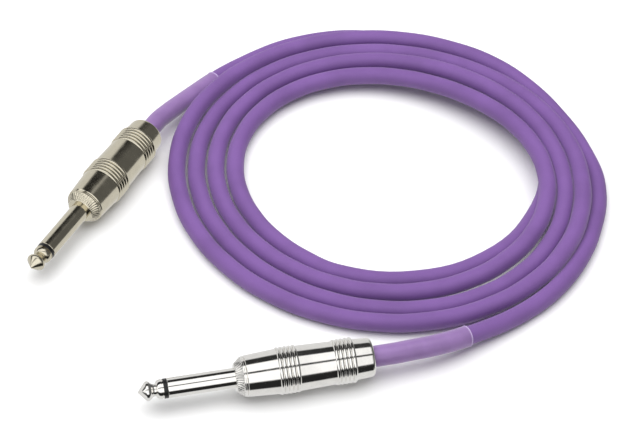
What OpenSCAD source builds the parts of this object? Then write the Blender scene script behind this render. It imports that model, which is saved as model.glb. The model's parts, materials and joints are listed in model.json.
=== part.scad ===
// Instrument cable: two straight quarter-inch mono jack plugs with screw-on
// metal shells, joined by one coiled screened cable that lies on a table.
// Millimetres, +Z up. The table is z = 0, and the plugs' shells rest on it.
// Plug B lies along X with its tip towards -X. Plug A is turned about Z.
// Inside every plug module, x runs from the tip (x = 0) to the cable, and the
// plug's axis is y = 0, z = 0.

/* [Tip and shaft] */
// Diameter of the shaft that enters a jack
shaft_d = 6.35; // [5:0.05:8]
// Length from the point of the tip to the collar
shaft_len = 30.5; // [27:0.5:36]
// Width of the black ring that parts the tip from the shaft
ring_w = 1.3; // [0.8:0.1:2]
// Diameter of the rod that runs from the tip to its solder lug
rod_d = 1.8; // [1.4:0.1:2.2]

/* [Collar] */
// Length of the fluted bevel ring in front of the shell
bevel_len = 2.7; // [2:0.1:4]
// Number of flutes round the bevel ring
flutes = 44; // [24:1:60]
// Diameter of the collar's thread
thread_d = 10.3; // [9.5:0.1:11.5]
// Length of the collar's thread
thread_len = 5; // [4:0.1:6.5]
// Thickness of the lock washer between the collar and the shell
washer_t = 0.5; // [0.3:0.1:1]

/* [Shell] */
// Length of the screw-on shell
shell_len = 40.7; // [36:0.5:50]
// Diameter at the shell's front end
shell_front_d = 13; // [12.4:0.1:14]
// Diameter of the shell where each bead band begins
shell_mid_d = 14.2; // [13.6:0.1:15]
// Diameter at the shell's rear end
shell_rear_d = 12.2; // [11.6:0.1:13]
// Diameter over the beads of the front band, which rests on the table
bead_crest_d = 15; // [14.8:0.1:16]
// Number of beads in each band
beads = 5; // [3:1:6]
// Distance from one bead to the next
bead_pitch = 1.32; // [1.1:0.02:1.5]
// Thickness of the shell's rear wall
rear_wall = 4; // [3:0.5:6]

/* [Inner parts] */
// Diameter of the hollow inside the shell
shell_bore_d = 10.9; // [10.7:0.1:11.4]
// Wall of the insulating liner tube
liner_wall = 0.4; // [0.3:0.1:0.6]
// Thickness of the lugs' sheet metal
lug_t = 0.5; // [0.4:0.1:0.8]
// Length of the cable clamp
clamp_len = 7; // [5:0.5:9]

/* [Cable] */
// Diameter of the cable's jacket
cable_d = 6; // [5.4:0.1:6.4]
// Wall of the strain relief tube
relief_wall = 0.3; // [0.2:0.05:0.8]
// Length of plug A's strain relief tube behind its shell
relief_a_len = 39; // [28:1:48]
// Length of plug B's strain relief tube behind its shell
relief_b_len = 32.5; // [26:0.5:42]
// Diameter of the insulated core inside the jacket
core_d = 2.6; // [2:0.1:3]
// Turns in the coil
turns = 4; // [3:1:5]
// Outside diameter of the coil
coil_d = 144.6; // [136:0.2:160]

/* [Clearances] */
// Radial running clearance between the shell and what it turns on
run_gap = 0.05; // [0.03:0.01:0.1]
// Radial gap between the shell's rear hole and the strain relief tube
relief_gap = 0.4; // [0.3:0.05:0.8]
// Gap that keeps bare terminals off the liner
terminal_gap = 0.6; // [0.4:0.1:1]

/* [Hidden] */
$fn = 48;

// Sub-parts of each plug, front to rear, then the free cable.

// The shell unscrews by nearly its whole thread.
travel = thread_len - 0.5;
// The cable stays straight behind the shell over that travel.
straight_tail = travel + 1.5;

// Stations along a plug, from the tip.
ring_x = 8;
bevel_x = shaft_len;
thread_x = bevel_x + bevel_len;
shell_x = thread_x + washer_t;
thread_end = thread_x + thread_len;
disc_t = 0.8;
lug_x = thread_end + disc_t;
nut_x = lug_x + lug_t;
nut_t = 1.4;
shell_end = shell_x + shell_len;
hollow_end = shell_end - rear_wall;
clamp_end = hollow_end - 1.5;
clamp_x = clamp_end - clamp_len;
relief_x = clamp_x - 1;
jacket_x = relief_x - 1.5;
cord_x = shell_end + straight_tail;

// Radii worked out from the sizes above.
shaft_r = shaft_d / 2;
rod_r = rod_d / 2;
rod_tube_r = rod_r + 0.7;
bead_crest_r = bead_crest_d / 2;
axis_z = bead_crest_r;
thread_r = thread_d / 2;
liner_or = shell_bore_d / 2 - run_gap;
liner_ir = liner_or - liner_wall;
terminal_r = liner_ir - terminal_gap;
cable_r = cable_d / 2;
relief_ir = cable_r + 0.1;
relief_or = relief_ir + relief_wall;
clamp_wall = 0.5;
strap_z = relief_or + clamp_wall;
nut_r = rod_r + 0.6;
core_r = core_d / 2;
// The screen keeps 0.1 mm off the ground lug's strap.
screen_r = min(0.8, (strap_z - lug_t - core_r - 0.15) / 2);
screen_z = -core_r - screen_r - 0.05;
spigot_r = shaft_r - 0.4;
seat_r = thread_r - 0.6;

// Where each plug's straight cable ends and which way the plug lies.
exit_a = [-0.75, 64.5, axis_z];
turn_a = 50.5;
exit_b = [53.65, -58.9, axis_z];
turn_b = 0;

// The free cable's routes, from each plug to the coil. They start straight,
// sink to the table, run alongside the outermost turn and end at the coil.
ground_h = cable_r;
route_a = [
    exit_a, [3.9, 69.2, 7], [9.5, 74.1, 6.3], [15.6, 79.5, 5.3],
    [21.5, 84.8, 4.2], [27.5, 89.5, 3.4], [34.3, 93.3, 3.1],
    [41.2, 96.5, ground_h], [49.7, 99.5, ground_h], [58.2, 101, ground_h],
    [66.2, 101.4, ground_h], [73.6, 100.8, ground_h], [81.2, 98.9, ground_h],
    [88, 96, ground_h]
];
route_b = [
    exit_b, [60.2, -58.4, 7.3], [66.7, -57.7, 6.9], [73.2, -56.3, 6.2],
    [79.7, -54.2, 5.3], [86.6, -51.7, 4.4], [94.1, -48.6, 3.5],
    [101.7, -44.9, ground_h], [108.8, -40.8, ground_h],
    [115.3, -35.8, ground_h], [121.3, -29.9, ground_h],
    [126.8, -23, ground_h], [131.5, -15.7, ground_h]
];
coil_at = [71.2, 25.6];
coil_pitch = cable_d + 0.2;
// Direction from the coil's middle to where its turns lie highest.
over_turn = 40;

// A plug's place: its x axis runs back along the plug to the cable's exit.
module at_plug(exit, turn) {
    translate(exit) rotate([0, 0, turn]) translate([-cord_x, 0, 0]) children();
}

// A solid of revolution about the plug's axis from [x, radius] points.
module turned(points) {
    rotate([0, 90, 0]) rotate([0, 0, 90]) rotate_extrude() polygon([
        for (p = points) [p[1], p[0]]
    ]);
}

// A plain tube along the plug; inner radius 0 makes a rod.
module tube_x(x0, x1, r_out, r_in = 0, z = 0) {
    translate([x0, 0, z]) rotate([0, 90, 0]) difference() {
        cylinder(h = x1 - x0, r = r_out);
        if (r_in > 0) translate([0, 0, -1]) cylinder(h = x1 - x0 + 2, r = r_in);
    }
}

// Tip contact: pointed head, waist and shoulder, with the rod behind it.
module tip() {
    head_r = shaft_r - 0.05;
    waist_r = shaft_r * 0.63;
    color("silver") turned([
        [0, 0], [0, 0.35], [2.3, head_r - 0.15], [2.8, head_r],
        [3.3, head_r - 0.15], [4.9, waist_r + 0.1], [5.4, waist_r],
        [5.9, waist_r + 0.15], [7.2, head_r - 0.25], [ring_x, head_r],
        [ring_x, rod_r], [nut_x + nut_t + 0.6, rod_r], [nut_x + nut_t + 0.6, 0]
    ]);
}

// Black insulating ring between the tip and the shaft.
module tip_ring() {
    color("black") tube_x(ring_x, ring_x + ring_w, shaft_r - 0.03, rod_r);
}

// Insulating tube round the rod, inside the shaft.
module rod_tube() {
    color("ivory") tube_x(ring_x + ring_w, thread_end, rod_tube_r, rod_r);
}

// Ground shaft, the plain tube that enters the jack, with a thinner spigot
// that is pressed into the collar.
module shaft() {
    color("silver") turned([
        [ring_x + ring_w, rod_tube_r], [ring_x + ring_w, shaft_r],
        [bevel_x, shaft_r], [bevel_x, spigot_r], [thread_x, spigot_r],
        [thread_x, rod_tube_r]
    ]);
}

// Collar: fluted bevel ring, washer seat and threaded barrel in one turning.
module collar() {
    root_r = shaft_r + 1.35;
    rim_r = shell_front_d / 2 - 0.25;
    flute_w = 2 * PI * rim_r / flutes * 0.55;
    color("silver") difference() {
        turned([
            [bevel_x, spigot_r], [bevel_x, root_r], [thread_x - 0.35, rim_r],
            [thread_x, rim_r], [thread_x, seat_r], [shell_x, seat_r],
            [shell_x, thread_r], [thread_end - 0.3, thread_r],
            [thread_end, thread_r - 0.3], [thread_end, rod_tube_r],
            [thread_x, rod_tube_r], [thread_x, spigot_r]
        ]);
        for (i = [0 : flutes - 1])
            rotate([i * 360 / flutes, 0, 0])
                translate([bevel_x + 0.25, 0, root_r + 0.35])
                    rotate([0, -atan2(rim_r - root_r, bevel_len - 0.35), 0])
                        rotate([45, 0, 0])
                            cube([bevel_len * 2, flute_w, flute_w], center = true);
    }
}

// Lock washer, seen as a thin bright lip in front of the shell.
module washer() {
    color("gainsboro")
        tube_x(thread_x, shell_x, shell_front_d / 2 - 0.1, seat_r);
}

// Insulating disc behind the collar.
module rear_disc() {
    color("saddlebrown")
        tube_x(thread_end, lug_x, min(terminal_r, strap_z - lug_t - 0.1), rod_r);
}

// Tip solder lug: an eye on the rod and a tongue that runs back above it.
module tip_lug() {
    tongue_w = 2;
    tongue_z = nut_r + 0.1;
    eye_r = tongue_z + lug_t + 0.2;
    color("silver") difference() {
        union() {
            tube_x(lug_x, lug_x + lug_t, eye_r);
            translate([lug_x, -tongue_w / 2, tongue_z])
                cube([jacket_x - lug_x - 3, tongue_w, lug_t]);
        }
        tube_x(lug_x - 1, lug_x + lug_t + 1, rod_r);
    }
}

// Nut that holds the tip lug on the rod.
module rod_nut() {
    color("silver") translate([nut_x, 0, 0]) rotate([0, 90, 0]) difference() {
        cylinder(h = nut_t, r = nut_r, $fn = 6);
        translate([0, 0, -1]) cylinder(h = nut_t + 2, r = rod_r, $fn = 48);
    }
}

// Ground lug: a strap from the collar's rear rim back to the cable clamp.
module ground_lug() {
    strap_w = 4;
    color("silver") translate([thread_end, -strap_w / 2, -strap_z])
        cube([clamp_x - thread_end, strap_w, lug_t]);
}

// Cable clamp: a split band squeezed round the strain relief tube.
module clamp() {
    color("silver") difference() {
        tube_x(clamp_x, clamp_end, strap_z, relief_or);
        translate([clamp_x - 1, -0.8, relief_or - 1])
            cube([clamp_len + 2, 1.6, 3]);
    }
}

// Insulated core of the cable, from the jacket to the tip lug's tongue.
module core() {
    color("white") tube_x(jacket_x - 5.5, jacket_x, core_r);
}

// Solder on the tip lug, round the core's bared end.
module core_solder() {
    color("gainsboro") hull() {
        translate([jacket_x - 6.6, 0, nut_r - 0.4]) sphere(r = 0.9, $fn = 24);
        translate([jacket_x - 5.6, 0, 0]) rotate([0, 90, 0])
            cylinder(h = 0.1, r = 0.8, $fn = 24);
    }
}

// Twisted screen of the cable, laid down to the ground lug.
module screen() {
    color("peru") tube_x(jacket_x - 4, jacket_x, screen_r, z = screen_z);
}

// Solder that joins the screen to the ground lug.
module screen_solder() {
    color("gainsboro") translate([jacket_x - 4.4, 0, (screen_z - strap_z) / 2])
        sphere(r = 0.95, $fn = 24);
}

// The cable's jacket inside the plug and straight behind it.
module jacket() {
    color("mediumpurple") tube_x(jacket_x, cord_x, cable_r);
}

// Insulating liner tube that keeps the shell off the terminals.
module liner() {
    color("whitesmoke")
        tube_x(lug_x + 0.2, hollow_end - 0.2, liner_or, liner_ir);
}

// Radius of the shell's outside, without the beads, at x along the plug.
function shell_r(x) = lookup(x, [
    [shell_x, shell_front_d / 2], [band_x(0), shell_mid_d / 2],
    [band_x(0) + band_len, shell_mid_d / 2 + 0.05],
    [band_x(1), shell_mid_d / 2 - 0.3],
    [band_x(1) + band_len, shell_rear_d / 2 + 0.4],
    [shell_end, shell_rear_d / 2]
]);
band_len = beads * bead_pitch;
// Each band starts at the same share of the shell's length.
function band_x(i) = shell_x + shell_len * (i == 0 ? 0.25 : 0.69);
// The rear band's beads are a little lower than the front one's.
function crest_r(i) = bead_crest_r - 0.3 * i;

// Half outline of the shell: plain body and both bands of round beads.
module shell_outline() {
    corner = 1;
    bead_r = bead_pitch / 2;
    end_r = shell_rear_d / 2;
    edges = [for (i = [0, 1]) for (x = [band_x(i), band_x(i) + band_len]) x];
    polygon(concat(
        [[0, shell_x], [shell_r(shell_x) - 0.3, shell_x]],
        [[shell_r(shell_x + 0.3), shell_x + 0.3]],
        [for (x = edges) [shell_r(x), x]],
        [for (a = [0 : 15 : 90])
            [end_r - corner + corner * cos(a), shell_end - corner + corner * sin(a)]],
        [[0, shell_end]]
    ));
    for (i = [0, 1])
        for (k = [0 : beads - 1])
            translate([crest_r(i) - bead_r, band_x(i) + (2 * k + 1) * bead_r])
                circle(r = bead_r, $fn = 24);
}

// Screw-on shell: plain body, two bead bands, threaded mouth and rear hole.
module shell() {
    mouth_r = thread_r + run_gap;
    rear_hole_r = relief_or + relief_gap;
    color("silver") difference() {
        rotate([0, 90, 0]) rotate([0, 0, 90]) rotate_extrude() shell_outline();
        tube_x(shell_x - 1, thread_end + 1, mouth_r);
        tube_x(thread_end + 0.5, hollow_end, shell_bore_d / 2);
        tube_x(hollow_end - 1, shell_end + 1, rear_hole_r);
    }
}

// Ring of points round a route's point, square to the route there.
function unit(v) = v / norm(v);
function heading(route, i) = unit(
    route[min(i + 1, len(route) - 1)] - route[max(i - 1, 0)]
);
function ring_points(centre, dir, r, sides) =
    let (
        side = unit(cross([0, 0, 1], dir)),
        top = cross(dir, side)
    )
    [for (k = [0 : sides - 1])
        centre + r * (cos(k * 360 / sides) * side + sin(k * 360 / sides) * top)];

// Catmull-Rom points between a route's own points, `steps` to each stretch.
function between(p0, p1, p2, p3, t) = 0.5 * (
    2 * p1 + (p2 - p0) * t + (2 * p0 - 5 * p1 + 4 * p2 - p3) * t * t
    + (3 * p1 - p0 - 3 * p2 + p3) * t * t * t
);
function smooth(route, steps) =
    let (n = len(route) - 1)
    concat(
        [for (i = [0 : n - 1]) for (s = [0 : steps - 1])
            between(
                route[max(i - 1, 0)], route[i], route[i + 1],
                route[min(i + 2, n)], s / steps
            )],
        [route[n]]
    );

// A solid tube along a route, with flat ends and the route's own first
// direction at its start, so that it meets the straight cable face to face.
module swept(route, r, start_dir, sides = 12) {
    n = len(route);
    rings = [for (i = [0 : n - 1])
        ring_points(route[i], i == 0 ? start_dir : heading(route, i), r, sides)];
    points = [for (ring = rings) for (p = ring) p];
    walls = [for (i = [0 : n - 2]) for (k = [0 : sides - 1])
        let (k2 = (k + 1) % sides)
            [i * sides + k, (i + 1) * sides + k,
             (i + 1) * sides + k2, i * sides + k2]];
    polyhedron(
        points = points,
        faces = concat(
            walls,
            [[for (k = [0 : sides - 1]) k]],
            [[for (k = [sides - 1 : -1 : 0]) (n - 1) * sides + k]]
        ),
        convexity = 8
    );
}

// The direction in which a plug's cable leaves it.
function out_dir(turn) = [cos(turn), sin(turn), 0];

// Free cable from a plug to the coil.
module lead(route, turn) {
    color("mediumpurple") swept(route, cable_r, out_dir(turn));
}

// Strain relief tube: straight from the clamp to the end of the straight
// cable, then along the cable's own route. Its bore runs out of both ends.
module relief(route, turn, length) {
    out = out_dir(turn);
    start = route[0] - (cord_x - relief_x) * out;
    fine = smooth(route, 3);
    tail = length - straight_tail;
    kept = [for (i = [0 : len(fine) - 1]) if (run_to(fine, i) < tail) fine[i]];
    color("plum") difference() {
        swept(concat([start], kept), relief_or, out, 16);
        swept(concat([start - out], kept, [fine[len(kept)]]), relief_ir, out, 16);
    }
}
function run_to(route, i) =
    i == 0 ? 0 : run_to(route, i - 1) + norm(route[i] - route[i - 1]);

// The coil's outer shape: flat turns side by side, which rise by one cable
// towards the side where they lie over the lead that runs in under them.
module coil() {
    width = turns * coil_pitch;
    outer_r = coil_d / 2;
    inner_r = outer_r - width;
    rise = atan2(cable_d, 2 * outer_r);
    color("mediumpurple") translate([coil_at[0], coil_at[1], 0]) difference() {
        rotate_extrude($fn = 96) translate([inner_r, 0])
            coil_outline(width, 2 * cable_d, cable_r - 0.5);
        rotate([0, 0, over_turn]) translate([-outer_r, 0, cable_d])
            rotate([0, -rise, 0]) translate([-outer_r, -2 * outer_r, 0])
                cube([4 * outer_r, 4 * outer_r, 4 * cable_d]);
    }
}

// Rectangle with round corners, its lower left corner at the origin.
module coil_outline(w, h, r) {
    translate([r, 0]) square([w - 2 * r, h]);
    translate([0, r]) square([w, h - 2 * r]);
    for (x = [r, w - r])
        for (y = [r, h - r])
            translate([x, y]) circle(r = r);
}

module placed_a() { at_plug(exit_a, turn_a) children(); }
module placed_b() { at_plug(exit_b, turn_b) children(); }

placed_a() tip();  // tip_a
placed_a() tip_ring();  // tip_ring_a
placed_a() rod_tube();  // rod_tube_a
placed_a() shaft();  // shaft_a
placed_a() collar();  // collar_a
placed_a() washer();  // washer_a
placed_a() rear_disc();  // rear_disc_a
placed_a() tip_lug();  // tip_lug_a
placed_a() rod_nut();  // rod_nut_a
placed_a() ground_lug();  // ground_lug_a
placed_a() clamp();  // clamp_a
placed_a() core();  // core_a
placed_a() core_solder();  // core_solder_a
placed_a() screen();  // screen_a
placed_a() screen_solder();  // screen_solder_a
placed_a() jacket();  // jacket_a
placed_a() liner();  // liner_a
placed_a() shell();  // shell_a
relief(route_a, turn_a, relief_a_len);  // relief_a
lead(route_a, turn_a);  // lead_a
placed_b() tip();  // tip_b
placed_b() tip_ring();  // tip_ring_b
placed_b() rod_tube();  // rod_tube_b
placed_b() shaft();  // shaft_b
placed_b() collar();  // collar_b
placed_b() washer();  // washer_b
placed_b() rear_disc();  // rear_disc_b
placed_b() tip_lug();  // tip_lug_b
placed_b() rod_nut();  // rod_nut_b
placed_b() ground_lug();  // ground_lug_b
placed_b() clamp();  // clamp_b
placed_b() core();  // core_b
placed_b() core_solder();  // core_solder_b
placed_b() screen();  // screen_b
placed_b() screen_solder();  // screen_solder_b
placed_b() jacket();  // jacket_b
placed_b() liner();  // liner_b
placed_b() shell();  // shell_b
relief(route_b, turn_b, relief_b_len);  // relief_b
lead(route_b, turn_b);  // lead_b
coil();
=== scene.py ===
"""Instrument cable: two mono jack plugs on one coiled screened cable, lying on a table.

Metres, +Z up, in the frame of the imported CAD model. Plug outlines are in millimetres,
as (distance from the tip, radius), and are placed on the plugs by the frame's own mounts.
"""

import json
import math

import bmesh
import bpy
from bpy.props import FloatProperty, FloatVectorProperty, IntProperty, PointerProperty
from mathutils import Matrix, Vector


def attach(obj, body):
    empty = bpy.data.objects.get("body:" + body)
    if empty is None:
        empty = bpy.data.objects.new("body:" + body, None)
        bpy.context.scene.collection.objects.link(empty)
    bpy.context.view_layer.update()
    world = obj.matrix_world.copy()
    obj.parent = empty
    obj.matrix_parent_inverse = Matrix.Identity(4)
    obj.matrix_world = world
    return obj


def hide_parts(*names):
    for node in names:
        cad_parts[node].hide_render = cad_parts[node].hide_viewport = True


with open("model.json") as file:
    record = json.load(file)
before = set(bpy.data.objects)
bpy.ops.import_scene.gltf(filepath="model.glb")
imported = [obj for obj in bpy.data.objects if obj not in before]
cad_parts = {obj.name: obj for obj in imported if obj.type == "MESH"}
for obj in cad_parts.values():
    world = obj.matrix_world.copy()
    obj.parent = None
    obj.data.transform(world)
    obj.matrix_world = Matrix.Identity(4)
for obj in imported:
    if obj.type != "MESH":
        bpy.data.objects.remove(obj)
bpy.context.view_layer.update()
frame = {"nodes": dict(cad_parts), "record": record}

bl_info = {
    "name": "Instrument Cable",
    "version": (1, 0, 0),
    "blender": (4, 5, 0),
    "location": "View3D > Sidebar > Instrument Cable",
    "description": "Two jack plugs joined by one coiled cable, built round its CAD frame",
    "category": "Add Mesh",
}

MM = 0.001
PLUGS = "ab"


def linear(code):
    """An sRGB hex colour as linear RGBA."""
    channels = [int(code[i : i + 2], 16) / 255 for i in (0, 2, 4)]
    curved = [c / 12.92 if c <= 0.04045 else ((c + 0.055) / 1.055) ** 2.4 for c in channels]
    return (*curved, 1.0)


# --- Sizes and colours a user would change ---------------------------------------------


def length(name, description, default):
    """A length property in metres."""
    return FloatProperty(
        name=name, description=description, default=default, subtype="DISTANCE", unit="LENGTH"
    )


def colour(name, description, code):
    """A colour property with an sRGB hex default."""
    return FloatVectorProperty(
        name=name,
        description=description,
        default=linear(code),
        size=4,
        min=0.0,
        max=1.0,
        subtype="COLOR",
    )


class CABLE_PG_plug(bpy.types.PropertyGroup):
    """Sizes of both jack plugs."""

    shaft_diameter: length("Shaft diameter", "Across the shaft that enters a jack", 0.00635)
    shaft_length: length("Shaft length", "From the point of the tip to the collar", 0.0305)
    collar_length: length("Collar length", "Along the fluted bevel of the collar", 0.0027)
    washer: length("Washer thickness", "Of the washer between collar and shell", 0.0005)
    shell_length: length("Shell length", "Along the screw-on shell", 0.0407)
    bead_pitch: length("Bead pitch", "From one bead of a band to the next", 0.00132)
    beads: IntProperty(name="Beads", description="Beads in each band", default=5, min=3, max=6)
    flutes: IntProperty(
        name="Flutes", description="V grooves round the collar's bevel", default=44, min=24, max=60
    )


class CABLE_PG_cord(bpy.types.PropertyGroup):
    """Sizes of the cable and its strain relief tubes."""

    diameter: length("Cable diameter", "Across the cable's jacket", 0.006)
    relief_a: length("Relief length, plug A", "Of the tube behind plug A's shell", 0.039)
    relief_b: length("Relief length, plug B", "Of the tube behind plug B's shell", 0.0325)


class CABLE_PG_colours(bpy.types.PropertyGroup):
    """Colours of the visible finishes."""

    jacket: colour("Jacket", "Purple PVC of the cable's jacket", "775595")
    relief: colour("Relief", "Purple tubing of the strain reliefs", "8D6FA4")
    relief_edge: colour("Relief edge", "Pale stressed edge where the tubing is cut", "B09BC6")
    # Painted light: plug A's plate is the same nickel as plug B's, tinted warmer and darker to paint
    # the warmer light that fell on plug A.
    plate_a_painted_warm_light: colour("Plate, plug A", "Warm nickel plate", "D9D2BE")
    plate_b: colour("Plate, plug B", "Bright nickel plate", "F2F0EC")
    insulator: colour("Insulator", "Black plastic between tip and shaft", "141414")
    floor: colour("Floor", "Pale table under the cable", "F6F6F6")


def sizes():
    """The scene's plug sizes."""
    return bpy.context.scene.cable_plug


def cord_sizes():
    """The scene's cable sizes."""
    return bpy.context.scene.cable_cord


def colours():
    """The scene's finishes."""
    return bpy.context.scene.cable_colours


# --- Where things lie ------------------------------------------------------------------

# Stations along a plug that don't follow a size above, in millimetres from the tip.
RING_X = 8.0
RING_END = 9.3
THREAD_LENGTH = 5.0
THREAD_PITCH = 0.75
# The strain relief tube starts this far ahead of the shell's rear end.
RELIEF_LEAD = 13.5
# Outer radius of the strain relief tube in its clamp, and outside it. Plug A's tube is
# stretched thinner than plug B's.
RELIEF_R = 3.4
RELIEF_OUTSIDE_R = {"a": 3.25, "b": 3.4}
# Radii along a plug, in millimetres.
HEAD_R = 3.12
WAIST_R = 1.95
ROD_R = 0.9
ROD_TUBE_R = 1.6
SPIGOT_R = 2.775
SEAT_R = 4.55
THREAD_R = 5.15
MOUTH_R = 5.2
BORE_R = 5.45
REAR_HOLE_R = 3.8


def stations():
    """Where each part of a plug begins, in millimetres from the tip."""
    s = sizes()
    bevel = s.shaft_length / MM
    thread = bevel + s.collar_length / MM
    shell = thread + s.washer / MM
    end = shell + s.shell_length / MM
    return {
        "bevel": bevel,
        "thread": thread,
        "shell": shell,
        "thread_end": thread + THREAD_LENGTH,
        "shell_end": end,
    }


def plug_place(end):
    """The matrix that takes a plug's own frame, its tip at the origin and its cable
    along +X, to where plug a or b lies. The mount is the middle of the shaft."""
    mount = next(m for m in frame["record"]["mounts"] if m["name"] == f"plug_{end}_shaft")
    out = -Vector(mount["axis"])
    middle = (RING_X + stations()["bevel"]) / 2 * MM
    tip = Vector(mount["pos_m"]) - out * middle
    return Matrix.Translation(tip) @ Matrix.Rotation(math.atan2(out.y, out.x), 4, "Z")


# The cable's route, in millimetres. Each lead starts at a plug, sinks to the table and
# runs to the coil.
LEAD_A = [
    (-0.75, 64.5, 7.5), (3.9, 69.2, 7), (9.5, 74.1, 6.3), (15.6, 79.5, 5.3),
    (21.5, 84.8, 4.2), (27.5, 89.5, 3.4), (34.3, 93.3, 3.1), (41.2, 96.5, 3),
    (49.7, 99.5, 3), (58.2, 101, 3), (66.2, 101.4, 3), (73.6, 100.8, 3), (81.2, 98.9, 3),
]
LEAD_B = [
    (53.65, -58.9, 7.5), (60.2, -58.4, 7.3), (66.7, -57.7, 6.9), (73.2, -56.3, 6.2),
    (79.7, -54.2, 5.3), (86.6, -51.7, 4.4), (94.1, -48.6, 3.5), (101.7, -44.9, 3),
    (108.8, -40.8, 3), (115.3, -35.8, 3), (121.3, -29.9, 3), (126.8, -23, 3),
    (131.5, -15.7, 3),
]
COIL_MIDDLE = (73.55, 27.0)
# Height of the centreline where the cable lies on the table.
LYING = 3.0
COIL_START = 0.34
COIL_END = 4.06
POINTS_PER_TURN = 24
# The lead from plug A dives under the coil: (turn, radius) on the table.
RUN_IN = [
    (-0.20, 69.3), (-0.14, 63.9), (-0.06, 57.7), (0.02, 53.6),
    (0.10, 51.7), (0.18, 51.4), (0.26, 51.0),
]
# Where a turn climbs over what lies under it: (turn, width before, width after, height).
CLIMBS = [
    (1.01, 0.29, 0.24, 6.35), (1.93, 0.23, 0.18, 7.37),
    (2.95, 0.22, 0.22, 6.52), (3.88, 0.19, 0.08, 6.07),
]
# Short lifts over a neighbour: (turn, width, height).
LIFTS = [(3.62, 0.08, 3.0), (2.02, 0.08, 0.5), (3.11, 0.05, 0.3)]
# A lifted point moves straight toward the camera, so it keeps its place in that view.
# This is the move for each millimetre of lift.
LEAN = Vector((-0.217, -1.032, 1.0))
# The coil's radius at its start, and what each turn adds to it.
FIRST_RADIUS = 46.6
TURN_PITCH = 6.29


def coil_radius(u):
    """Radius of the coil's centreline after u turns: a spiral pushed out of round, and
    with its turns a little closer together on the +X side than on the other."""
    t = 2 * math.pi * u
    shift = -3.2 * math.cos(t) + 3.3 * math.sin(t)
    oval = -1.15 * math.cos(2 * t) + 3.3 * math.sin(2 * t)
    corners = 0.25 * math.cos(3 * t)
    drift = -u * (0.3 * math.cos(t) + 0.1 * math.sin(t))
    return FIRST_RADIUS + TURN_PITCH * u + shift + oval + corners + drift


def coil_height(u):
    """Height of the coil's centreline: on the table, with a climb in every turn."""
    height = LYING
    for middle, before, after, rise in CLIMBS:
        width = before if u < middle else after
        height += rise * math.exp(-(((u - middle) / width) ** 2))
    return height


def coil_point(u, radius, height):
    """A point u turns round the coil, counted clockwise from +X."""
    angle = -2 * math.pi * u
    return Vector((
        COIL_MIDDLE[0] + radius * math.cos(angle),
        COIL_MIDDLE[1] + radius * math.sin(angle),
        height,
    ))


def cable_route():
    """The whole cable's centreline from plug A to plug B, in metres."""
    points = [Vector(p) for p in LEAD_A]
    points += [coil_point(u, radius, LYING) for u, radius in RUN_IN]
    steps = int((COIL_END - COIL_START) * POINTS_PER_TURN) + 1
    for i in range(steps):
        u = COIL_START + i / POINTS_PER_TURN
        lift = sum(h * math.exp(-(((u - c) / w) ** 2)) for c, w, h in LIFTS)
        points.append(coil_point(u, coil_radius(u), coil_height(u)) + LEAN * lift)
    points += [Vector(p) for p in reversed(LEAD_B)]
    return [p * MM for p in points]


# --- Modelling helpers -----------------------------------------------------------------


def deselect():
    """Leaves object mode with nothing selected."""
    if bpy.context.object and bpy.context.object.mode != "OBJECT":
        bpy.ops.object.mode_set(mode="OBJECT")
    bpy.ops.object.select_all(action="DESELECT")


def turned(name, outline, steps=96, smooth=32):
    """A solid turned about X from a closed outline of (x, radius) points in millimetres."""
    deselect()
    bpy.ops.mesh.primitive_plane_add(size=MM)
    piece = bpy.context.object
    piece.name = name
    bpy.ops.object.mode_set(mode="EDIT")
    bpy.ops.mesh.merge(type="CENTER")
    bpy.ops.transform.translate(value=(outline[0][0] * MM, outline[0][1] * MM, 0))
    for (x0, r0), (x1, r1) in zip(outline, outline[1:]):
        step = ((x1 - x0) * MM, (r1 - r0) * MM, 0)
        bpy.ops.mesh.extrude_vertices_move(TRANSFORM_OT_translate={"value": step})
    bpy.ops.mesh.select_all(action="SELECT")
    bpy.ops.mesh.spin(steps=steps, angle=2 * math.pi, center=(0, 0, 0), axis=(1, 0, 0))
    bpy.ops.mesh.select_all(action="SELECT")
    bpy.ops.mesh.remove_doubles(threshold=1e-6)
    bpy.ops.mesh.normals_make_consistent(inside=False)
    bpy.ops.object.mode_set(mode="OBJECT")
    bpy.ops.object.shade_smooth_by_angle(angle=math.radians(smooth))
    return piece


def select_rings(piece, wanted):
    """In edit mode, selects the vertices for which wanted(x, radius, angle) is true."""
    mesh = bmesh.from_edit_mesh(piece.data)
    bpy.ops.mesh.select_all(action="DESELECT")
    for v in mesh.verts:
        x, y, z = v.co / MM
        if wanted(x, math.hypot(y, z), math.atan2(z, y)):
            v.select = True
    mesh.select_flush_mode()
    bmesh.update_edit_mesh(piece.data)


def duplicate(piece):
    """A copy of a piece with its own mesh."""
    deselect()
    piece.select_set(True)
    bpy.context.view_layer.objects.active = piece
    bpy.ops.object.duplicate(linked=False)
    return bpy.context.object


def fit_to_plugs(model, label, node, finish, body="cable"):
    """Sets the modelled piece on plug B and a copy of it on plug A."""
    copies = {"b": model, "a": duplicate(model)}
    for end, piece in copies.items():
        piece.name = f"plug_{end}_{label}"
        piece.data.name = piece.name
        piece.data.transform(plug_place(end))
        piece.data.materials.clear()
        piece.data.materials.append(finish(end))
        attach(piece, body.format(end))
        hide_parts(f"{node}_{end}")


# --- Materials -------------------------------------------------------------------------


def add(tree, kind, values=None, **settings):
    """Adds a node. Values are numbers or other nodes' sockets, for its inputs by name."""
    node = tree.nodes.new(kind)
    for key, value in settings.items():
        setattr(node, key, value)
    for socket, value in (values or {}).items():
        if isinstance(value, bpy.types.NodeSocket):
            tree.links.new(value, node.inputs[socket])
        else:
            node.inputs[socket].default_value = value
    return node


def blank(name):
    """A new material with an empty tree, or the finished one of that name."""
    made = bpy.data.materials.get(name)
    if made:
        return made, None
    made = bpy.data.materials.new(name)
    made.use_nodes = True
    made.node_tree.nodes.clear()
    return made, made.node_tree


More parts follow.
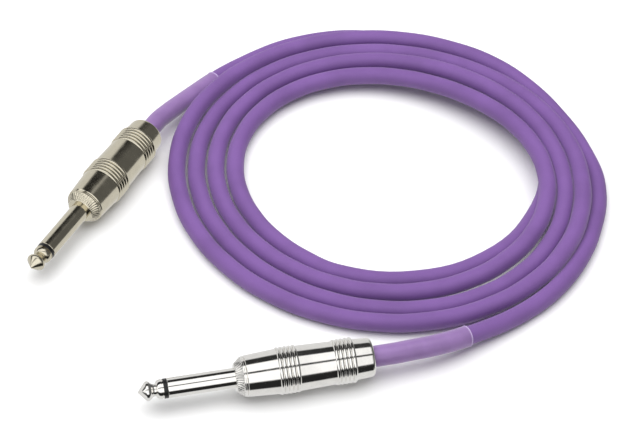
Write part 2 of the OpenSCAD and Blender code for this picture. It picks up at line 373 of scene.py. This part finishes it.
def finish_shader(tree, values):
    """The material's own shader and output."""
    shader = add(tree, "ShaderNodeBsdfPrincipled", values)
    add(tree, "ShaderNodeOutputMaterial", {"Surface": shader.outputs["BSDF"]})


def plug_coordinates(tree, end):
    """Object coordinates turned into plug a's or b's own frame, x along its axis."""
    place = plug_place(end)
    where = add(tree, "ShaderNodeTexCoord")
    mapped = add(
        tree,
        "ShaderNodeMapping",
        {
            "Vector": where.outputs["Object"],
            "Location": place.to_translation(),
            "Rotation": place.to_euler(),
        },
        vector_type="TEXTURE",
    )
    return mapped.outputs["Vector"]


def grain(tree, vector, size, detail=2.0, roughness=0.5):
    """Noise whose blobs are about size millimetres across."""
    return add(
        tree,
        "ShaderNodeTexNoise",
        {"Vector": vector, "Scale": 1 / (size * MM), "Detail": detail, "Roughness": roughness},
    )


def shades(tree, factor, low, high, start=0.35, stop=0.65):
    """Colours or greys between low and high over the middle of a factor's range."""
    ramp = add(tree, "ShaderNodeValToRGB", {"Fac": factor})
    ramp.color_ramp.elements[0].position = start
    ramp.color_ramp.elements[0].color = low
    ramp.color_ramp.elements[1].position = stop
    ramp.color_ramp.elements[1].color = high
    return ramp.outputs["Color"]


def tint(base, share):
    """A linear colour made darker or lighter by a share."""
    return (*[min(1.0, c * share) for c in base[:3]], 1.0)


def grey(value):
    """A linear grey."""
    return (value, value, value, 1.0)


def nickel_plate(end):
    """Nickel-plated brass, turned and then plated: mirror-bright, with very fine turning marks round
    the axis and faint handling haze. Plug A's copy carries a painted warm tint, darker and warmer
    than plug B's, for the warmer light on plug A."""
    material, tree = blank(f"nickel_plate_{end}")
    if tree is None:
        return material
    # Plug A's base colour is a painted warm tint for the light on plug A, not a different plating.
    base = colours().plate_a_painted_warm_light if end == "a" else colours().plate_b
    vector = plug_coordinates(tree, end)
    haze = grain(tree, vector, 3.0, 4.0, 0.6)
    # Turning marks are about 0.05 mm apart, drawn at 0.25 mm to show.
    marks = add(
        tree,
        "ShaderNodeTexWave",
        {"Vector": vector, "Scale": 2 * math.pi / (20 * 0.25 * MM), "Distortion": 1.0},
        bands_direction="X",
        wave_profile="SIN",
    )
    bump = add(
        tree,
        "ShaderNodeBump",
        {"Height": marks.outputs["Fac"], "Strength": 0.06, "Distance": 0.01 * MM},
    )
    low, high = (0.12, 0.2) if end == "a" else (0.06, 0.13)
    finish_shader(
        tree,
        {
            "Base Color": shades(tree, haze.outputs["Fac"], tint(base, 0.93), tuple(base)),
            "Metallic": 1.0,
            "Roughness": shades(tree, haze.outputs["Fac"], grey(low), grey(high)),
            "Normal": bump.outputs["Normal"],
        },
    )
    return material


def black_acetal(end=""):
    """Black acetal, turned: satin with faint tool marks."""
    material, tree = blank("black_acetal")
    if tree is None:
        return material
    where = add(tree, "ShaderNodeTexCoord")
    fine = grain(tree, where.outputs["Object"], 0.3)
    base = tuple(colours().insulator)
    finish_shader(
        tree,
        {
            "Base Color": shades(tree, fine.outputs["Fac"], tint(base, 0.8), tint(base, 1.2)),
            "Roughness": shades(tree, fine.outputs["Fac"], grey(0.3), grey(0.42)),
            "IOR": 1.48,
        },
    )
    return material


def plasticised_pvc():
    """Plasticised PVC, extruded: matte, with soft cloudy shade changes and a fine skin."""
    material, tree = blank("plasticised_pvc")
    if tree is None:
        return material
    base = tuple(colours().jacket)
    where = add(tree, "ShaderNodeTexCoord").outputs["Object"]
    cloud = grain(tree, where, 14.0, 3.0)
    # The skin's grain is about 0.1 mm, drawn at 0.5 mm to show.
    skin = grain(tree, where, 0.5, 3.0, 0.6)
    bump = add(
        tree,
        "ShaderNodeBump",
        {"Height": skin.outputs["Fac"], "Strength": 0.25, "Distance": 0.05 * MM},
    )
    finish_shader(
        tree,
        {
            "Base Color": shades(tree, cloud.outputs["Fac"], tint(base, 0.92), tint(base, 1.06)),
            "Roughness": shades(tree, skin.outputs["Fac"], grey(0.5), grey(0.62)),
            "IOR": 1.53,
            "Normal": bump.outputs["Normal"],
        },
    )
    return material


def soft_tubing():
    """Soft vinyl tubing, extruded and cut: glossier and pinker than the jacket."""
    material, tree = blank("soft_tubing")
    if tree is None:
        return material
    base = tuple(colours().relief)
    where = add(tree, "ShaderNodeTexCoord").outputs["Object"]
    cloud = grain(tree, where, 6.0, 3.0)
    finish_shader(
        tree,
        {
            "Base Color": shades(tree, cloud.outputs["Fac"], tint(base, 0.92), tint(base, 1.06)),
            "Roughness": shades(tree, cloud.outputs["Fac"], grey(0.28), grey(0.36)),
            "IOR": 1.53,
        },
    )
    return material


def cut_tubing():
    """The cut end of soft vinyl tubing: pale where the knife stressed it."""
    material, tree = blank("cut_tubing")
    if tree is None:
        return material
    base = tuple(colours().relief_edge)
    where = add(tree, "ShaderNodeTexCoord").outputs["Object"]
    fine = grain(tree, where, 0.4)
    finish_shader(
        tree,
        {
            "Base Color": shades(tree, fine.outputs["Fac"], tint(base, 0.9), tint(base, 1.08)),
            "Roughness": 0.5,
            "IOR": 1.53,
        },
    )
    return material


def inner_finish(name, low, high, size, rough, metallic=0.0):
    """A finish for a part inside the plug: two shades in blobs of size millimetres."""
    material, tree = blank(name)
    if tree is None:
        return material
    where = add(tree, "ShaderNodeTexCoord").outputs["Object"]
    blobs = grain(tree, where, size, 3.0)
    bump = add(
        tree,
        "ShaderNodeBump",
        {"Height": blobs.outputs["Fac"], "Strength": 0.2, "Distance": 0.03 * MM},
    )
    finish_shader(
        tree,
        {
            "Base Color": shades(tree, blobs.outputs["Fac"], linear(low), linear(high)),
            "Metallic": metallic,
            "Roughness": shades(tree, blobs.outputs["Fac"], grey(rough - 0.05), grey(rough + 0.08)),
            "Normal": bump.outputs["Normal"],
        },
    )
    return material


# Inner parts, by node: (common name and making, low hex, high hex, grain mm, roughness, metal).
INNER_FINISHES = {
    "rod_tube": ("polyethylene_tube_extruded", "E4DFD0", "F0ECE0", 1.0, 0.4, 0.0),
    "rear_disc": ("vulcanised_fibre_punched", "6E4526", "8A5A34", 0.5, 0.7, 0.0),
    "tip_lug": ("tinned_brass_pressed", "B9BABA", "D2D3D2", 0.8, 0.28, 1.0),
    "rod_nut": ("tinned_brass_pressed", "B9BABA", "D2D3D2", 0.8, 0.28, 1.0),
    "ground_lug": ("tinned_brass_pressed", "B9BABA", "D2D3D2", 0.8, 0.28, 1.0),
    "clamp": ("tinned_brass_pressed", "B9BABA", "D2D3D2", 0.8, 0.28, 1.0),
    "core": ("polyethylene_core_extruded", "E9E6DC", "F6F4EC", 0.6, 0.42, 0.0),
    "core_solder": ("tin_lead_solder_flowed", "9FA1A2", "C8C9C8", 0.6, 0.3, 1.0),
    "screen": ("bare_copper_strand_twisted", "A5613B", "D08A5C", 0.25, 0.35, 1.0),
    "screen_solder": ("tin_lead_solder_flowed", "9FA1A2", "C8C9C8", 0.6, 0.3, 1.0),
    "liner": ("polypropylene_liner_rolled", "D9DAD6", "ECEDEA", 1.5, 0.35, 0.0),
}


# --- Outlines of the plug's pieces -----------------------------------------------------


def arc(middle, radius, start, stop, steps, squash=1.0):
    """Points (x, radius) on an arc, its angles in degrees up from +X."""
    points = []
    for i in range(steps + 1):
        angle = math.radians(start + (stop - start) * i / steps)
        x = middle[0] + radius * math.cos(angle)
        points.append((x, middle[1] + radius * squash * math.sin(angle)))
    return points


def tip_outline():
    """Pointed head, waist, rounded shoulder, grooved lip and the rod behind it."""
    drop = HEAD_R - WAIST_R
    outline = [(0, 0), (0.12, 0.28), (2.45, 2.98), (2.68, 3.09), (2.85, HEAD_R), (3.1, HEAD_R)]
    for i in range(1, 11):
        outline.append((3.1 + 0.21 * i, WAIST_R + drop * (0.5 + 0.5 * math.cos(math.pi * i / 10))))
    outline += arc((7.2, WAIST_R), 1.6, 180, 90, 10, drop / 1.6)
    outline += [(7.45, HEAD_R), (7.5, HEAD_R - 0.25), (7.6, HEAD_R - 0.25), (7.65, HEAD_R)]
    rod_end = stations()["thread_end"] + 3.3
    outline += [(7.95, HEAD_R), (RING_X, HEAD_R - 0.05), (RING_X, ROD_R), (rod_end, ROD_R)]
    return outline + [(rod_end, 0)]


def tip_ring_outline():
    """Black ring with eased edges, on the tip's rod."""
    r = 3.145
    return [
        (RING_X, ROD_R), (RING_X, r - 0.06), (RING_X + 0.06, r), (RING_END - 0.06, r),
        (RING_END, r - 0.06), (RING_END, ROD_R), (RING_X, ROD_R),
    ]


def shaft_outline():
    """Plain shaft with a spigot that enters the collar."""
    r = sizes().shaft_diameter / 2 / MM
    at = stations()
    return [
        (RING_END, ROD_TUBE_R), (RING_END, r - 0.08), (RING_END + 0.1, r), (20, r),
        (at["bevel"], r), (at["bevel"], SPIGOT_R), (at["thread"], SPIGOT_R),
        (at["thread"], ROD_TUBE_R), (RING_END, ROD_TUBE_R),
    ]


BEVEL_ROWS = ((0.45, 4.73), (2.05, 6.01))


def collar_outline():
    """Bevel, washer seat and threaded barrel in one turning."""
    at = stations()
    bevel, thread, shell, end = at["bevel"], at["thread"], at["shell"], at["thread_end"]
    outline = [(bevel, SPIGOT_R), (bevel, 4.3), (bevel + 0.2, 4.525)]
    outline += [(bevel + x, r) for x, r in BEVEL_ROWS]
    outline += [(thread - 0.35, 6.25), (thread, 6.25), (thread, SEAT_R), (shell, SEAT_R)]
    outline.append((shell, THREAD_R))
    ridges = int((end - shell - 0.5) / THREAD_PITCH)
    for k in range(ridges):
        x = shell + 0.2 + k * THREAD_PITCH
        outline += [(x, THREAD_R), (x + 0.1, THREAD_R), (x + 0.42, THREAD_R - 0.4)]
    outline += [(end - 0.5, THREAD_R), (end - 0.3, THREAD_R), (end, THREAD_R - 0.3)]
    outline += [(end, ROD_TUBE_R), (thread, ROD_TUBE_R), (thread, SPIGOT_R), (bevel, SPIGOT_R)]
    return outline


def washer_outline():
    """Flat washer with eased rim, a thin bright lip in front of the shell."""
    at = stations()
    a, b, r = at["thread"], at["shell"], 6.4
    return [
        (a, SEAT_R), (a, r - 0.1), (a + 0.1, r), (b - 0.1, r), (b, r - 0.1), (b, SEAT_R),
        (a, SEAT_R),
    ]


def shell_outline():
    """Body, two bands of round beads, rounded rear corner and the bored inside."""
    at = stations()
    front, end = at["shell"], at["shell_end"]
    span = end - front
    pitch = sizes().bead_pitch / MM
    bead = pitch / 2
    band = sizes().beads * pitch
    outline = [(front, MOUTH_R), (front, 6.2), (front + 0.3, 6.5)]
    for share, crest, before, after in ((0.25, 7.5, 7.1, 7.15), (0.69, 7.2, 6.8, 6.5)):
        start = front + share * span
        middle_r = crest - bead
        low = math.degrees(math.asin((before - middle_r) / bead))
        last = math.degrees(math.asin((after - middle_r) / bead))
        for k in range(sizes().beads):
            stop = last if k == sizes().beads - 1 else low
            middle = (start + (2 * k + 1) * bead, middle_r)
            outline += arc(middle, bead, 180 - low, stop, 10)
        outline.append((start + band, after - 0.01))
    outline.append((end - 1.05, 6.17))
    outline += arc((end - 1, 5.08), 1, 90, 0, 8)
    outline += [(end, REAR_HOLE_R + 0.2), (end - 0.2, REAR_HOLE_R), (end - 4, REAR_HOLE_R)]
    bore = at["thread_end"] + 0.5
    outline += [(end - 4, BORE_R), (bore, BORE_R), (bore, MOUTH_R), (front, MOUTH_R)]
    return outline


# --- Operators -------------------------------------------------------------------------


STAGE_MIDDLE = Vector((0.045, 0.014, 0))


class CABLE_OT_stage(bpy.types.Operator):
    """Sets the table, the soft boxes round it, the lamp and the camera"""

    bl_idname = "cable.stage"
    bl_label = "Stage"

    def execute(self, context):
        self.table()
        self.surroundings(context.scene)
        self.lamp()
        self.camera(context.scene)
        context.scene.view_settings.view_transform = "Standard"
        return {"FINISHED"}

    def table(self):
        deselect()
        bpy.ops.mesh.primitive_plane_add(size=8.0, location=STAGE_MIDDLE)
        table = bpy.context.object
        table.name = "table"
        bpy.ops.object.transform_apply(location=True)
        material, tree = blank("pale_laminate")
        base = tuple(colours().floor)
        where = add(tree, "ShaderNodeTexCoord").outputs["Object"]
        fine = grain(tree, where, 4.0)
        tone = shades(tree, fine.outputs["Fac"], tint(base, 0.995), base)
        finish_shader(tree, {"Base Color": tone, "Roughness": 0.9, "Specular IOR Level": 0.1})
        table.data.materials.append(material)
        table.visible_glossy = False

    def surroundings(self, scene):
        """Soft boxes and black flags as bands of the sky, seen in the plated metal."""
        world = scene.world or bpy.data.worlds.new("studio")
        scene.world = world
        world.use_nodes = True
        tree = world.node_tree
        tree.nodes.clear()
        split = add(
            tree,
            "ShaderNodeSeparateXYZ",
            {"Vector": add(tree, "ShaderNodeTexCoord").outputs["Generated"]},
        )
        toward = add(tree, "ShaderNodeMath", {0: split.outputs["Y"], 1: -1.0}, operation="MULTIPLY")
        turn = add(
            tree,
            "ShaderNodeMath",
            {0: split.outputs["Z"], 1: toward.outputs[0]},
            operation="ARCTAN2",
        )
        share = add(
            tree,
            "ShaderNodeMapRange",
            {"Value": turn.outputs[0], "From Min": -math.pi, "From Max": math.pi},
        )
        bands = add(tree, "ShaderNodeValToRGB", {"Fac": share.outputs["Result"]})
        ramp = bands.color_ramp
        # (degrees above the table on the camera's side, brightness)
        edges = [
            (-180, 0.8), (-44, 0.8), (-38, 0.02), (2, 0.02), (8, 1.25), (54, 1.3),
            (57, 0.05), (64, 0.05), (67, 1.3), (106, 1.25), (110, 0.03), (140, 0.03), (146, 0.8),
            (180, 0.8),
        ]
        ramp.elements[0].position = 0.0
        ramp.elements[0].color = grey(edges[0][1])
        ramp.elements[1].position = 1.0
        ramp.elements[1].color = grey(edges[-1][1])
        for degrees, value in edges[1:-1]:
            ramp.elements.new((degrees + 180) / 360).color = grey(value)
        # A black flag stands beyond the cable's +X end.
        beyond = add(
            tree,
            "ShaderNodeMapRange",
            {"Value": split.outputs["X"], "From Min": 0.2, "From Max": 0.65},
        )
        above = add(
            tree,
            "ShaderNodeMapRange",
            {"Value": split.outputs["Z"], "From Min": -0.14, "From Max": -0.06},
        )
        flag = add(
            tree,
            "ShaderNodeMath",
            {0: beyond.outputs["Result"], 1: above.outputs["Result"]},
            operation="MULTIPLY",
        )
        flagged = add(
            tree,
            "ShaderNodeMix",
            {0: flag.outputs[0], 6: bands.outputs["Color"], 7: grey(0.13)},
            data_type="RGBA",
        )
        seen = add(tree, "ShaderNodeBackground", {"Color": flagged.outputs[2], "Strength": 1.0})
        fill = add(tree, "ShaderNodeBackground", {"Color": grey(1.0), "Strength": 0.35})
        path = add(tree, "ShaderNodeLightPath")
        both = add(
            tree,
            "ShaderNodeMixShader",
            {0: path.outputs["Is Glossy Ray"], 1: fill.outputs[0], 2: seen.outputs[0]},
        )
        add(tree, "ShaderNodeOutputWorld", {"Surface": both.outputs[0]})

    def lamp(self):
        """A wide soft lamp above and behind the cable."""
        data = bpy.data.lights.new("soft_lamp", "AREA")
        data.shape = "RECTANGLE"
        data.size = 2.0
        data.size_y = 1.8
        data.energy = 27.0
        lamp = bpy.data.objects.new("soft_lamp", data)
        bpy.context.scene.collection.objects.link(lamp)
        lamp.location = (0.0, 0.12, 1.2)
        aim = STAGE_MIDDLE - lamp.location
        lamp.rotation_euler = aim.to_track_quat("-Z", "Y").to_euler()
        lamp.visible_glossy = False

    def camera(self, scene):
        """A long lens from the front, about 44 degrees above the table."""
        data = bpy.data.cameras.new("camera")
        data.sensor_width = 36.0
        data.lens = 150.67
        camera = bpy.data.objects.new("camera", data)
        scene.collection.objects.link(camera)
        camera.location = Vector((-87.05, -613.7, 608.2)) * MM
        aim = Vector((44.75, 14.1, 0)) * MM - camera.location
        camera.rotation_euler = aim.to_track_quat("-Z", "Y").to_euler()
        scene.camera = camera


def bezier(name, points, straight):
    """A curve of one open spline through points. Straight gives, by index, the direction
    in which the line passes that point."""
    data = bpy.data.curves.new(name, "CURVE")
    data.dimensions = "3D"
    data.resolution_u = 6
    spline = data.splines.new("BEZIER")
    spline.bezier_points.add(len(points) - 1)
    for knot, point in zip(spline.bezier_points, points):
        knot.co = point
        knot.handle_left_type = "AUTO"
        knot.handle_right_type = "AUTO"
    for i, out in straight.items():
        knot = spline.bezier_points[i]
        knot.handle_left_type = "FREE"
        knot.handle_right_type = "FREE"
        before = (points[i] - points[i - 1]).length if i > 0 else 0.006
        after = (points[i + 1] - points[i]).length if i + 1 < len(points) else 0.006
        knot.handle_left = points[i] - out * before / 3
        knot.handle_right = points[i] + out * after / 3
    curve = bpy.data.objects.new(name, data)
    bpy.context.scene.collection.objects.link(curve)
    return curve


def way_out(end):
    """The direction in which a plug's cable leaves it."""
    return plug_place(end).to_3x3() @ Vector((1, 0, 0))


class CABLE_OT_relief(bpy.types.Operator):
    """Makes the strain relief tubes, cut square and bent along the cable"""

    bl_idname = "cable.relief"
    bl_label = "Strain reliefs"

    def execute(self, context):
        cord = cord_sizes()
        for end in PLUGS:
            behind = (cord.relief_a if end == "a" else cord.relief_b) / MM
            self.tube(end, behind + RELIEF_LEAD, RELIEF_OUTSIDE_R[end])
        return {"FINISHED"}

    def tube(self, end, long, outer):
        inner = cord_sizes().diameter / 2 / MM + 0.06
        edge = 0.45
        rings = int(long)
        walls = [(i * (long - edge) / rings, 0.0) for i in range(rings + 1)]
        outline = [(x, self.outer_radius(x, outer)) for x, _ in walls]
        # The cut end flares a little.
        outline += [(long - edge / 2, outer + 0.06), (long - 0.05, outer + 0.1), (long, outer + 0.04)]
        outline += [(long, inner + 0.08)]
        outline += [(x, inner) for x, _ in reversed(walls)]
        outline += [outline[0]]
        piece = turned(f"relief_tube_{end}", outline, 48, 40)
        self.name_cut_edge(piece, long - edge)
        self.bend(piece, end)
        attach(piece, "cable")
        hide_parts(f"relief_{end}")
        piece.visible_glossy = False

    def outer_radius(self, x, outer):
        """Full size in the clamp, easing to the outside size behind the shell."""
        ease = min(1.0, max(0.0, (x - RELIEF_LEAD + 2) / 3))
        return RELIEF_R + (outer - RELIEF_R) * ease

    def name_cut_edge(self, piece, start):
        """Gives the cut end its own finish."""
        piece.data.materials.append(soft_tubing())
        piece.data.materials.append(cut_tubing())
        for face in piece.data.polygons:
            if face.center.x > start * MM and Vector(face.center.yz).length > 3.0 * MM:
                face.material_index = 1

    def bend(self, piece, end):
        """Bends the straight tube along the plug's axis and then the cable's route."""
        lead = [Vector(p) * MM for p in (LEAD_A if end == "a" else LEAD_B)]
        out = way_out(end)
        first = plug_place(end) @ Vector(((stations()["shell_end"] - RELIEF_LEAD) * MM, 0, 0))
        line = bezier("relief_line", [first] + lead[:9], {0: out, 1: out})
        deselect()
        piece.select_set(True)
        bpy.context.view_layer.objects.active = piece
        curve = piece.modifiers.new("bend", "CURVE")
        curve.object = line
        curve.deform_axis = "POS_X"
        bpy.ops.object.modifier_apply(modifier="bend")
        bpy.data.objects.remove(line)


class CABLE_OT_cable(bpy.types.Operator):
    """Lays the cable from plug A through the coil to plug B"""

    bl_idname = "cable.cable"
    bl_label = "Cable"

    def execute(self, context):
        route = cable_route()
        cable = bezier("cable", route, {0: way_out("a"), len(route) - 1: -way_out("b")})
        cable.data.bevel_depth = cord_sizes().diameter / 2
        cable.data.bevel_resolution = 8
        cable.data.use_fill_caps = True
        cable.data.materials.append(plasticised_pvc())
        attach(cable, "cable")
        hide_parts("lead_a", "lead_b", "coil")
        cable.visible_glossy = False
        return {"FINISHED"}


class CABLE_OT_tips(bpy.types.Operator):
    """Makes the pointed tips and the black rings behind them"""

    bl_idname = "cable.tips"
    bl_label = "Tips"

    def execute(self, context):
        tip = turned("tip", tip_outline())
        fit_to_plugs(tip, "tip", "tip", nickel_plate)
        ring = turned("tip_ring", tip_ring_outline())
        fit_to_plugs(ring, "tip_ring", "tip_ring", black_acetal)
        return {"FINISHED"}


class CABLE_OT_shafts(bpy.types.Operator):
    """Makes the plain shafts that enter the jacks"""

    bl_idname = "cable.shafts"
    bl_label = "Shafts"

    def execute(self, context):
        shaft = turned("shaft", shaft_outline())
        fit_to_plugs(shaft, "shaft", "shaft", nickel_plate)
        return {"FINISHED"}


class CABLE_OT_collars(bpy.types.Operator):
    """Makes the fluted, threaded collars and their washers"""

    bl_idname = "cable.collars"
    bl_label = "Collars"

    # Columns of the spin to each flute, and how deep a flute is cut.
    columns = 4
    depth = 0.92

    def execute(self, context):
        steps = sizes().flutes * self.columns
        collar = turned("collar", collar_outline(), steps, 24)
        bpy.ops.object.mode_set(mode="EDIT")
        rows = [(stations()["bevel"] + x, r) for x, r in BEVEL_ROWS]

        def in_flute(x, radius, angle):
            near = any(abs(x - row) < 0.02 and abs(radius - r) < 0.05 for row, r in rows)
            return near and round(angle / (2 * math.pi) * steps) % self.columns == 0

        select_rings(collar, in_flute)
        bpy.ops.transform.resize(value=(1, self.depth, self.depth), center_override=(0, 0, 0))
        bpy.ops.object.mode_set(mode="OBJECT")
        fit_to_plugs(collar, "collar", "collar", nickel_plate)
        washer = turned("washer", washer_outline())
        fit_to_plugs(washer, "washer", "washer", nickel_plate)
        return {"FINISHED"}


class CABLE_OT_shells(bpy.types.Operator):
    """Makes the screw-on shells with their bands of beads"""

    bl_idname = "cable.shells"
    bl_label = "Shells"

    def execute(self, context):
        shell = turned("shell", shell_outline(), 128)
        fit_to_plugs(shell, "shell", "shell", nickel_plate, "shell_{}")
        return {"FINISHED"}


class CABLE_OT_inner_parts(bpy.types.Operator):
    """Gives the parts inside both plugs their finishes"""

    bl_idname = "cable.inner_parts"
    bl_label = "Inner parts"

    def execute(self, context):
        for end in PLUGS:
            for node, finish in INNER_FINISHES.items():
                self.paint(f"{node}_{end}", inner_finish(*finish))
            self.paint(f"jacket_{end}", plasticised_pvc())
        return {"FINISHED"}

    def paint(self, node, material):
        part = frame["nodes"][node]
        part.data.materials.clear()
        part.data.materials.append(material)


OPERATORS = (
    CABLE_OT_stage,
    CABLE_OT_relief,
    CABLE_OT_cable,
    CABLE_OT_tips,
    CABLE_OT_shafts,
    CABLE_OT_collars,
    CABLE_OT_shells,
    CABLE_OT_inner_parts,
)


class CABLE_PT_panel(bpy.types.Panel):
    """Lists the pieces and their sizes"""

    bl_idname = "CABLE_PT_panel"
    bl_label = "Instrument Cable"
    bl_space_type = "VIEW_3D"
    bl_region_type = "UI"
    bl_category = "Instrument Cable"

    def draw(self, context):
        layout = self.layout
        for operator in OPERATORS:
            layout.operator(operator.bl_idname)
        for group in (sizes(), cord_sizes(), colours()):
            box = layout.box()
            for name in group.bl_rna.properties.keys():
                if name not in ("rna_type", "name"):
                    box.prop(group, name)


GROUPS = {
    "cable_plug": CABLE_PG_plug,
    "cable_cord": CABLE_PG_cord,
    "cable_colours": CABLE_PG_colours,
}


def register():
    for group in GROUPS.values():
        bpy.utils.register_class(group)
    for name, group in GROUPS.items():
        setattr(bpy.types.Scene, name, PointerProperty(type=group))
    for operator in OPERATORS:
        bpy.utils.register_class(operator)
    bpy.utils.register_class(CABLE_PT_panel)


def unregister():
    bpy.utils.unregister_class(CABLE_PT_panel)
    for operator in reversed(OPERATORS):
        bpy.utils.unregister_class(operator)
    for name in GROUPS:
        delattr(bpy.types.Scene, name)
    for group in reversed(GROUPS.values()):
        bpy.utils.unregister_class(group)


def main():
    register()
    for operator in OPERATORS:
        group, name = operator.bl_idname.split(".")
        getattr(getattr(bpy.ops, group), name)()
    deselect()


if __name__ == "__main__":
    main()
